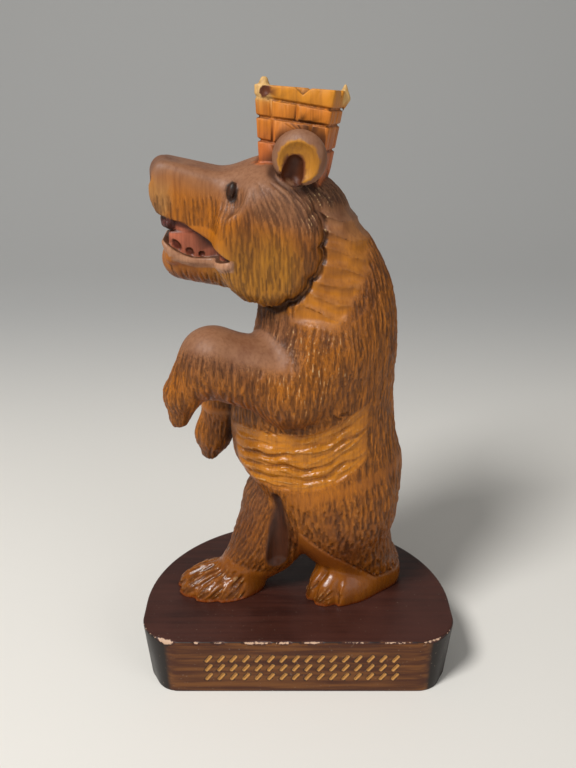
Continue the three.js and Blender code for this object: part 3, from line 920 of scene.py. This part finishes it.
def brick_stain(colours, points):
    wall = (crown_field(points) < 0.35) & (ears_field(points) > 0.2)
    local = placed(points, WALL_BASE, WALL_TURN)
    height = local[:, 2]
    brick = mixed(np.tile(BRICK, (len(points), 1)), BRICK_TOP, smoothstep(height, 14, 16))
    brick = mixed(brick, BRICK_RED, 0.8 * (1 - smoothstep(height, 3, 12)))
    for post_u, post_v, radius in CORNER_POSTS:
        away = np.hypot(local[:, 0] - post_u, local[:, 1] - post_v)
        brick = mixed(brick, POST, (1 - smoothstep(away, radius, radius + 1)) * smoothstep(height, 14.5, 16))
    hollow = ellipsoid(local, (-6.4, -9.4, 17.2), (1.2, 1.3, 1.4)) < 0.2
    brick = mixed(brick, UMBER, hollow)
    return np.where((wall & (points[:, 2] > 121))[:, None], brick, colours)


def gloss_of(points, normals):
    z = points[:, 2]
    gloss = 0.4 + 0.45 * (1 - smoothstep(z, 22, 30)) + 0.35 * folded_skin(points)
    return np.clip(gloss - 0.4 * dull_and_sheen(points, normals), 0, 1)


def wear_and_glint_of(points):
    """How much of the bare wood shows along the ridges; the same pale flecks are also a painted highlight
    for glints on them.
    """
    side = mirrored(points)
    shoulder = 0.75 * within(side, (1, 16, 83), (11, 9, 11), 0.5)
    fold = 0.45 * folded_skin(points)
    toes = 0.3 * foot_cover(points)
    ruff = within(side, (4, 10, 117), (4, 6, 6), 0.3)
    return np.clip(0.1 + shoulder + fold + toes + ruff, 0, 1)


# Materials

class Graph:
    """A material's node tree, with short ways to add nodes and join them."""

    def __init__(self, name):
        self.material = bpy.data.materials.new(name)
        self.material.use_nodes = True
        self.tree = self.material.node_tree
        self.shader = self.tree.nodes["Principled BSDF"]

    def put(self, socket, value):
        if isinstance(value, bpy.types.NodeSocket):
            self.tree.links.new(value, socket)
        elif value is not None:
            socket.default_value = value

    def add(self, kind, inputs=(), **settings):
        node = self.tree.nodes.new(kind)
        for key, value in settings.items():
            setattr(node, key, value)
        for key, value in dict(inputs).items():
            self.put(node.inputs[key], value)
        return node

    def attribute(self, name):
        node = self.add("ShaderNodeAttribute", attribute_name=name)
        return node

    def math(self, operation, a, b=None, clamp=False):
        return self.add("ShaderNodeMath", {0: a, 1: b}, operation=operation, use_clamp=clamp).outputs[0]

    def spread(self, value, low, high, start=0.0, end=1.0):
        """Maps low to high onto start to end, smoothly."""
        inputs = {"Value": value, "From Min": low, "From Max": high, "To Min": start, "To Max": end}
        return self.add("ShaderNodeMapRange", inputs, interpolation_type="SMOOTHSTEP").outputs[0]

    def mix(self, factor, a, b, blend="MIX"):
        inputs = {0: factor, 6: a, 7: b}
        node = self.add("ShaderNodeMix", inputs, data_type="RGBA", blend_type=blend)
        return node.outputs[2]

    def coordinates(self, stretch=(1, 1, 1)):
        place = self.add("ShaderNodeTexCoord").outputs["Object"]
        return self.add("ShaderNodeMapping", {"Vector": place, "Scale": stretch}).outputs[0]

    def noise(self, vector, scale, detail=3.0, roughness=0.55):
        inputs = {"Vector": vector, "Scale": scale, "Detail": detail, "Roughness": roughness}
        return self.add("ShaderNodeTexNoise", inputs).outputs["Fac"]


def colour4(colour):
    return (*[float(value) for value in colour], 1)


STREAK_SIZE = 0.00034             # width of the finest lines left by the gouge


def bear_material():
    g = Graph("bear_wood")
    stain = g.attribute("stain").outputs["Color"]
    groove = g.attribute("groove").outputs["Fac"]
    ridge = g.attribute("ridge").outputs["Fac"]
    crevice_shade = g.attribute("crevice_shade").outputs["Fac"]
    gloss = g.attribute("gloss").outputs["Fac"]
    hair = g.attribute("hair").outputs["Fac"]
    upright = g.coordinates((1, 1, 0.09))
    streak = g.noise(upright, 1 / STREAK_SIZE, 2)
    line = g.math("ABSOLUTE", g.math("SUBTRACT", streak, 0.5))
    line = g.math("MULTIPLY", g.spread(line, 0.0, 0.055, 1.0, 0.0), hair)
    grain = g.noise(g.coordinates((1, 1, 0.05)), 1500, 3)
    blotch = g.noise(g.coordinates((1, 1, 0.5)), 130, 4)
    speck = g.noise(g.coordinates((1, 1, 0.4)), 1300, 2, 0.7)
    colour = g.mix(g.spread(grain, 0.4, 0.7, 0.0, 0.3), stain, colour4(UMBER))
    colour = g.mix(g.spread(blotch, 0.42, 0.7, 0.0, 0.45), colour, colour4(UMBER))
    colour = g.mix(g.math("MULTIPLY", line, 0.55), colour, colour4(DARK_STAIN_AND_SHADE))
    colour = g.mix(g.spread(groove, 0.3, 1.0, 0.0, 0.6), colour, colour4(DARK_STAIN_AND_SHADE))
    # Painted shade in the crevices.
    colour = g.mix(g.spread(crevice_shade, 0.2, 0.85, 0.0, 0.85), colour, colour4(DARK_STAIN_AND_SHADE))
    # Pale worn wood on the ridges, which also stands as painted highlight for glints.
    wear_and_glint = g.math("MULTIPLY", g.spread(ridge, 0.03, 0.1), g.attribute("wear_and_glint").outputs["Fac"])
    wear_and_glint = g.math("MULTIPLY", wear_and_glint, g.spread(speck, 0.42, 0.6))
    colour = g.mix(wear_and_glint, colour, colour4(PALE_WOOD_AND_GLINT))
    g.put(g.shader.inputs["Base Color"], colour)
    rough = g.math("SUBTRACT", 0.55, g.math("MULTIPLY", gloss, 0.34))
    rough = g.math("ADD", rough, g.spread(speck, 0.3, 0.7, -0.05, 0.08), clamp=True)
    g.put(g.shader.inputs["Roughness"], rough)
    g.shader.inputs["Specular IOR Level"].default_value = 0.35
    heights = g.math("SUBTRACT", g.math("MULTIPLY", grain, 0.35), line)
    heights = g.math("ADD", heights, g.math("MULTIPLY", speck, 0.15))
    inputs = {"Strength": 0.6, "Distance": 0.00014, "Height": heights}
    g.put(g.shader.inputs["Normal"], g.add("ShaderNodeBump", inputs).outputs[0])
    return g.material


def base_material():
    g = Graph("base_wood")
    grain = g.noise(g.coordinates((0.06, 1, 1)), 700, 4)
    blotch = g.noise(g.coordinates(), 45, 3)
    speck = g.noise(g.coordinates(), 1400, 2)
    front = g.attribute("front").outputs["Fac"]
    side = g.attribute("side").outputs["Fac"]
    dark = g.mix(g.spread(grain, 0.35, 0.7), colour4(linear("402119")), colour4(linear("2e1611")))
    dark = g.mix(g.spread(blotch, 0.35, 0.7, 0, 0.6), dark, colour4(linear("4e2c24")))
    warm = g.mix(g.spread(grain, 0.35, 0.65), colour4(linear("74461e")), colour4(linear("4a2410")))
    # Painted shade: faces that don't turn up, the plinth's sides, are near black.
    colour = g.mix(side, dark, colour4(linear("1e1612")))
    # The front face is a warmer, lighter brown: partly its own tone, partly painted light on the face
    # towards the lamp.
    colour = g.mix(front, colour, warm)
    paint = g.attribute("paint").outputs["Fac"]
    colour = g.mix(g.spread(paint, 0.1, 0.45), colour, colour4(linear("c08a48")))
    wear = g.math("ADD", g.attribute("wear").outputs["Fac"], g.spread(speck, 0.3, 0.7, -0.3, 0.1))
    colour = g.mix(g.spread(wear, 0.25, 0.5), colour, colour4(linear("c8a488")))
    dust = g.spread(speck, 0.68, 0.74, 0.0, 0.35)
    colour = g.mix(dust, colour, colour4(linear("8c7866")))
    g.put(g.shader.inputs["Base Color"], colour)
    g.put(g.shader.inputs["Roughness"], g.spread(blotch, 0.3, 0.7, 0.34, 0.5))
    g.shader.inputs["Specular IOR Level"].default_value = 0.3
    inputs = {"Strength": 0.25, "Distance": 0.0001, "Height": grain}
    g.put(g.shader.inputs["Normal"], g.add("ShaderNodeBump", inputs).outputs[0])
    return g.material


# Bear's piece

BEAR_LOW = (-37, -22, 13)
BEAR_HIGH = (31, 22, 147)
BEAR_CELL = 0.3
BEAR_TRIANGLES = 190000


def make_bear():
    generator = np.random.default_rng(SEED)
    vertices, quads = surface_net(bear_field, BEAR_LOW, BEAR_HIGH, BEAR_CELL)
    vertices, normals = settled(bear_field, vertices, BEAR_CELL / 2)
    tree = tree_of(vertices)
    depths = np.zeros(len(vertices), np.float32)
    grooves = np.zeros(len(vertices), np.float32)
    for kind, heading, cover in stroke_covers(vertices, normals):
        places = vertices[cover > 0.4]
        starts = places[spaced(places, kind["gap"], generator)]
        stamps = stroke_stamps(bear_field, starts, heading, kind, generator)
        deep = cut_depths(vertices, tree, stamps) * np.clip(cover * 1.5, 0, 1)
        depths += deep
        hair = cover
        if kind["half_width"] < 0.8:
            grooves = np.maximum(grooves, deep / kind["depth"])
    carved = vertices - normals * depths[:, None]
    bulge = bulge_of(carved, quads, normals)
    # Painted shade: how closely other surfaces crowd each vertex, which darkens it in crevices where shade
    # gathers.
    crevice_shade = 1 - np.clip(bear_field(vertices + normals * 3) / 3, 0, 1)
    piece = piece_of("carved_bear", carved, quads, min(BEAR_TRIANGLES, len(quads) * 2))
    mesh = piece.data
    lookup = tree_of(carved)
    nearest = np.array([lookup.find(point)[1] for point in vertices_of(mesh).tolist()])
    add_attribute(mesh, "groove", grooves[nearest])
    add_attribute(mesh, "ridge", bulge[nearest])
    add_attribute(mesh, "crevice_shade", crevice_shade[nearest])
    add_attribute(mesh, "hair", hair[nearest])
    add_attribute(mesh, "gloss", gloss_of(vertices, normals)[nearest])
    add_attribute(mesh, "wear_and_glint", wear_and_glint_of(vertices)[nearest])
    add_colour(mesh, "stain", stain_of(vertices, normals)[nearest])
    mesh.materials.append(bear_material())
    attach(piece, "root")
    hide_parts("bear")


# Plinth

PLINTH_WIDTH = 79.2
PLINTH_THICKNESS = 15
PLINTH_FRONT = -28.35
PLINTH_ROUND_CENTRE = -11.25
PLINTH_CORNER = 10.5
PLINTH_TAPER = 1.6
INSET = 0.06                      # keeps the edges within the CAD model's box
STROKE_LEVELS = (4.6, 7.3, 10)
STROKES_PER_ROW = 16
STROKE_BAND = (-22.3, 24.1)
STROKE_LENGTH = 2.7
STROKE_WIDTH = 1.2
STROKE_DEPTH = 0.5
STROKE_LEAN = 38


def plinth_outline(x, y):
    """Distance to the D-shaped outline: flat front with round corners, half-round back."""
    radius = PLINTH_WIDTH / 2
    back = np.hypot(x, y - PLINTH_ROUND_CENTRE) - radius
    corner_x = np.abs(x) - (radius - PLINTH_CORNER)
    corner_y = PLINTH_FRONT + PLINTH_CORNER - y
    corner = np.hypot(np.maximum(corner_x, 0), np.maximum(corner_y, 0)) - PLINTH_CORNER
    front = np.maximum(corner, np.maximum(np.abs(x) - radius, PLINTH_FRONT - y))
    return np.where(y > PLINTH_ROUND_CENTRE, back, front)


def stroke_paint(points):
    """How deep in a stroke of the front's rows each point is, from 0 to 1."""
    x, y, z = points.T
    deep = np.zeros_like(x)
    for level in STROKE_LEVELS:
        lean = radians(STROKE_LEAN)
        for i in range(STROKES_PER_ROW):
            middle = STROKE_BAND[0] + (STROKE_BAND[1] - STROKE_BAND[0]) * i / (STROKES_PER_ROW - 1)
            along = (x - middle) * sin(lean) + (z - level) * cos(lean)
            across = (x - middle) * cos(lean) - (z - level) * sin(lean)
            inside = 1 - np.maximum(np.abs(across) / (STROKE_WIDTH / 2),
                                    (np.abs(along) - STROKE_LENGTH / 2) / 0.4 + 1)
            deep = np.maximum(deep, inside)
    return deep * (y < PLINTH_FRONT + 1.5)


def plinth_field(points):
    x, y, z = points.T
    drawn = PLINTH_TAPER * (1 - z / PLINTH_THICKNESS) * smoothstep(y, PLINTH_FRONT, PLINTH_FRONT + 6)
    drawn += INSET
    side = plinth_outline(x, y) + drawn
    d = -join(-side, PLINTH_THICKNESS - z, 0.5)
    d = np.maximum(d, -z)
    front = y < PLINTH_FRONT + 2
    d[front] += STROKE_DEPTH * stroke_paint(points[front])
    d += 0.35 * edge_wear(points)
    return d


# Worn places along the front's top edge: middle, half length and size
CHIPS = ((-32.8, 2.4, 1.0), (-25.2, 0.9, 0.4), (-19.8, 1.8, 0.4), (-10.3, 4, 0.55), (-3.6, 2.1, 0.5),
         (3.4, 3.3, 0.42), (14, 5, 0.3), (24, 6, 0.3), (33.6, 2.6, 0.45))


def edge_wear(points):
    """Bare wood along the front's top edge."""
    x, y, z = points.T
    from_edge = np.hypot(plinth_outline(x, y) + 0.2, z - PLINTH_THICKNESS + 0.2)
    wear = np.zeros_like(x)
    for middle, half, size in CHIPS:
        along = np.clip(np.abs(x - middle) / half, 0, 1)
        wear = np.maximum(wear, 1.2 - from_edge / (size * (1.05 - along ** 2)))
    return np.clip(wear, 0, 1) * (1 - smoothstep(y, -24, -16))


def make_plinth():
    low = (-41, -30, -1.5)
    high = (41, 30, 16.5)
    cell = 0.34
    vertices, quads = surface_net(plinth_field, low, high, cell)
    vertices, normals = settled(plinth_field, vertices, cell / 2)
    piece = piece_of("plinth", vertices, quads, min(60000, len(quads) * 2))
    mesh = piece.data
    points = vertices_of(mesh)
    add_attribute(mesh, "paint", stroke_paint(points) * (points[:, 1] < PLINTH_FRONT + 1))
    add_attribute(mesh, "wear", edge_wear(points))
    normals = slopes_of(plinth_field, points)
    # The front face, partly its own tone and partly painted light.
    add_attribute(mesh, "front", smoothstep(-normals[:, 1], 0.9, 0.97) * (normals[:, 2] < 0.5))
    # Painted shade on the faces that don't turn up.
    add_attribute(mesh, "side", 1 - smoothstep(normals[:, 2], 0.2, 0.6))
    mesh.materials.append(base_material())
    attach(piece, "root")
    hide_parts("base")


# Stage

def make_stage():
    floor = bpy.data.meshes.new("floor")
    rows = [(-1.5, 0), (0.35, 0)]
    for i in range(1, 13):
        angle = pi / 2 * i / 12
        rows.append((0.35 + 0.35 * sin(angle), 0.35 * (1 - cos(angle))))
    rows.append((0.7, 1.6))
    vertices = [(x, y, z) for y, z in rows for x in (-2, 2)]
    faces = [(2 * i, 2 * i + 1, 2 * i + 3, 2 * i + 2) for i in range(len(rows) - 1)]
    floor.from_pydata(vertices, [], faces)
    floor.shade_smooth()
    stage = bpy.data.objects.new("floor", floor)
    bpy.context.collection.objects.link(stage)
    g = Graph("floor")
    # The back of the sweep is painted a darker grey than the floor, as painted shade where the light falls
    # off.
    depth = g.add("ShaderNodeSeparateXYZ", {0: g.coordinates()}).outputs["Y"]
    floor_colour = colour4(linear("e6e2da"))
    shaded_wall_colour = colour4(linear("c2c1be"))
    g.put(g.shader.inputs["Base Color"], g.mix(g.spread(depth, 0.05, 0.3), floor_colour, shaded_wall_colour))
    g.shader.inputs["Roughness"].default_value = 0.9
    floor.materials.append(g.material)


def area_light(name, place, target, size, power, colour=(1, 1, 1)):
    light = bpy.data.lights.new(name, "AREA")
    light.shape = "DISK"
    light.size = size
    light.energy = power
    light.color = colour
    lamp = bpy.data.objects.new(name, light)
    lamp.location = place
    lamp.rotation_euler = (Vector(target) - Vector(place)).to_track_quat("-Z", "Y").to_euler()
    bpy.context.collection.objects.link(lamp)


def make_lights():
    target = (0, 0, 0.07)
    area_light("key", (-0.3, -0.32, 0.6), target, 0.22, 4.6)
    area_light("fill", (0.5, -0.5, 0.35), target, 0.5, 0.9)
    world = bpy.data.worlds.new("studio")
    world.use_nodes = True
    world.node_tree.nodes["Background"].inputs["Color"].default_value = (0.98, 0.99, 1, 1)
    world.node_tree.nodes["Background"].inputs["Strength"].default_value = 0.24
    bpy.context.scene.world = world
    bpy.context.scene.view_settings.view_transform = "Standard"


make_camera()
make_bear()
make_plinth()
make_stage()
make_lights()
